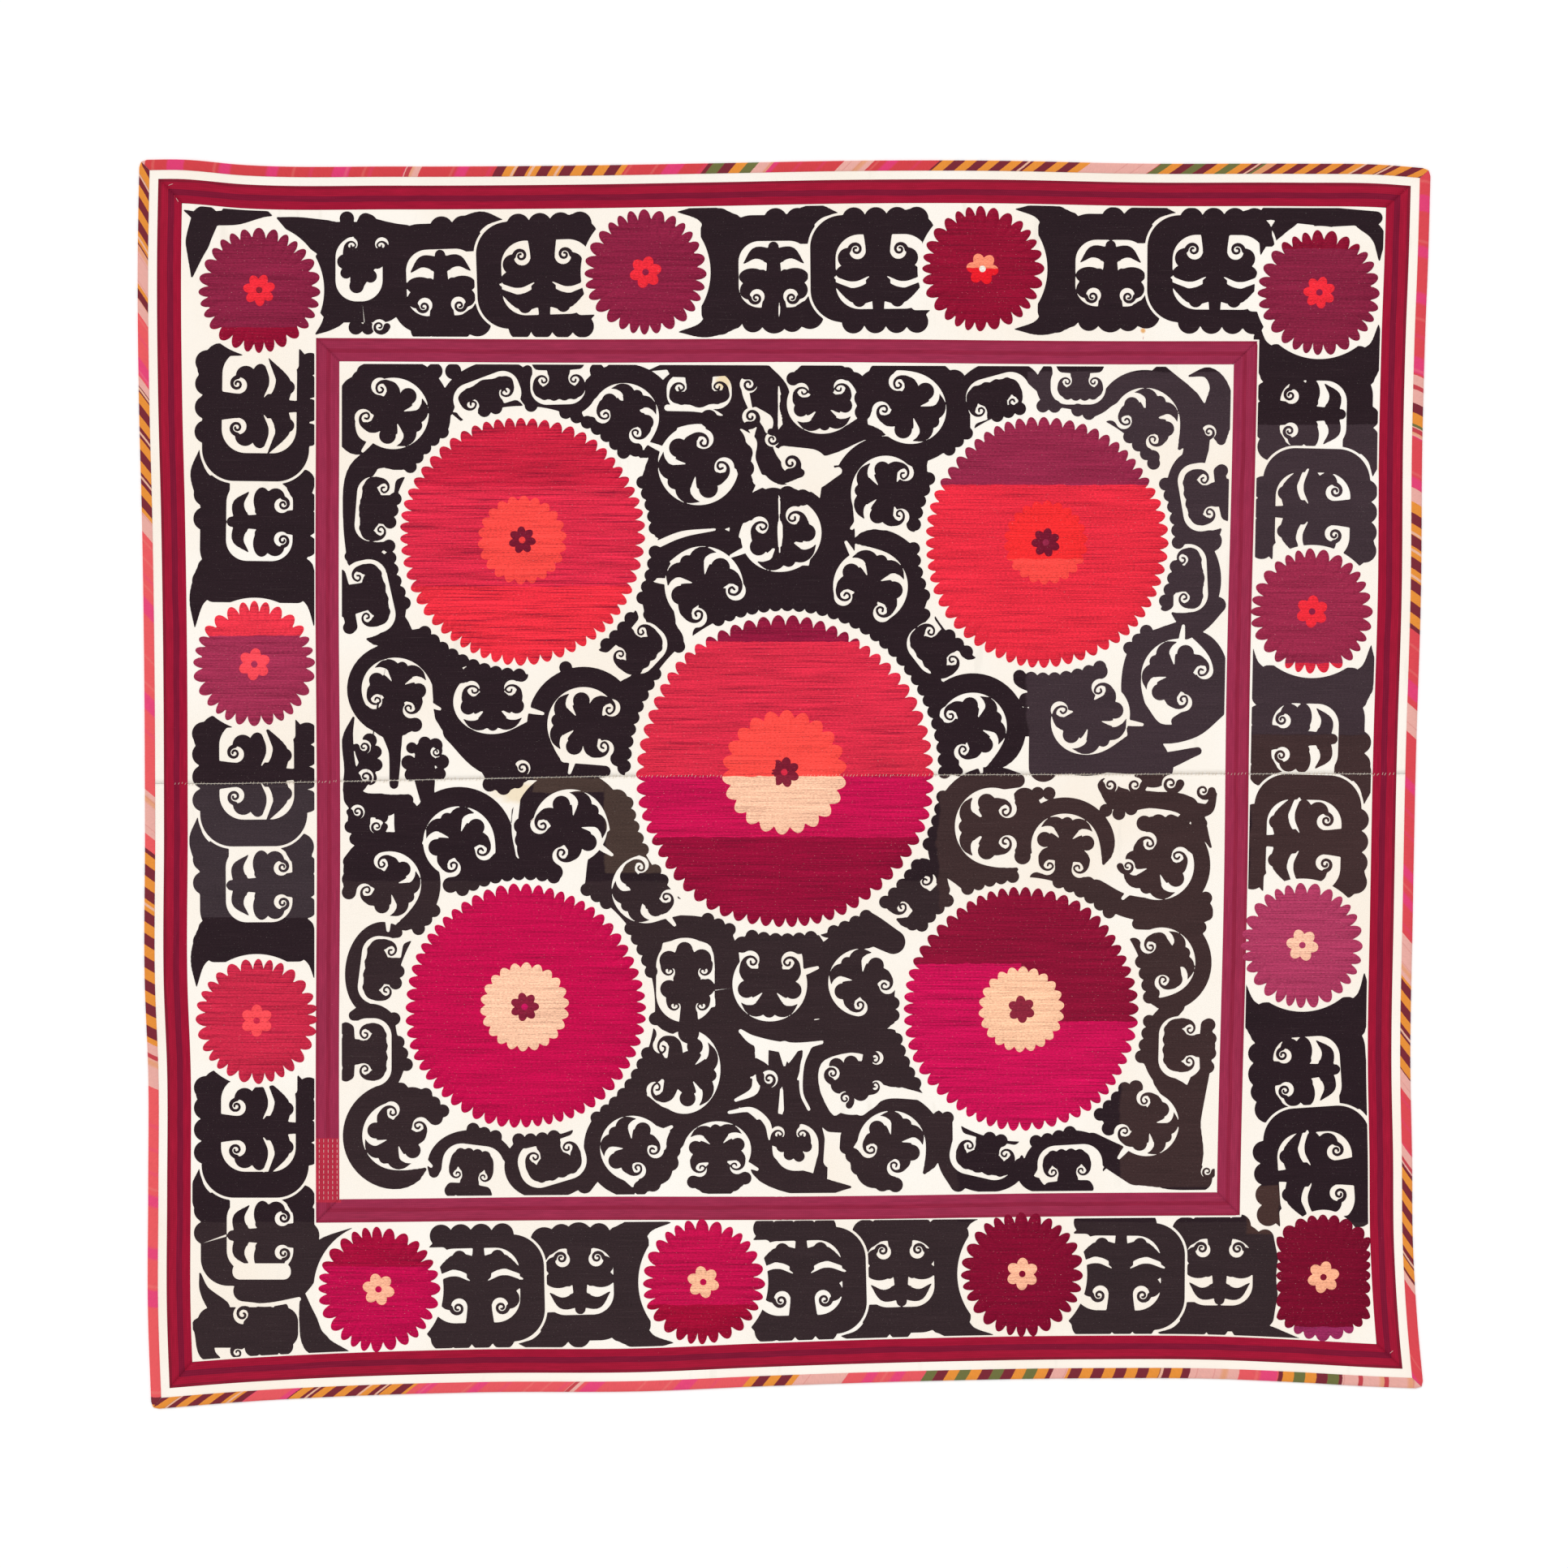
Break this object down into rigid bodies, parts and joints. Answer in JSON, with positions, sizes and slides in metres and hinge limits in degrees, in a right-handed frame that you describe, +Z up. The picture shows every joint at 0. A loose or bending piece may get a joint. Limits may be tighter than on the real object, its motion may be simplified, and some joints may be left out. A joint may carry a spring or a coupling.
{
  "type": "suzani embroidered textile",
  "caption": "Large square suzani lying flat, face up: seamed cotton cloth with raised scalloped rosettes and two frame bands, bound with folded ikat strips.",
  "frame": {"origin": "on the surface that the cloth lies on, under the middle of its box", "axes": "+Z is up, out of the embroidered face; +Y runs to the top of the pattern and +X to its right"},
  "size_m": [2.1021, 2.0308, 0.003],
  "materials": {
    "ground_cotton": "plain handwoven cotton",
    "ikat_binding": "striped silk and cotton ikat",
    "black_thread": "couched silk embroidery",
    "rosette_thread": "couched silk embroidery",
    "frame_thread": "chain stitch rows"
  },
  "bodies": {
    "root": {"panel_upper": "ground_cotton", "panel_lower": "ground_cotton", "binding_top": "ikat_binding", "binding_right": "ikat_binding", "binding_bottom": "ikat_binding", "binding_left": "ikat_binding"}
  },
  "joints": []
}
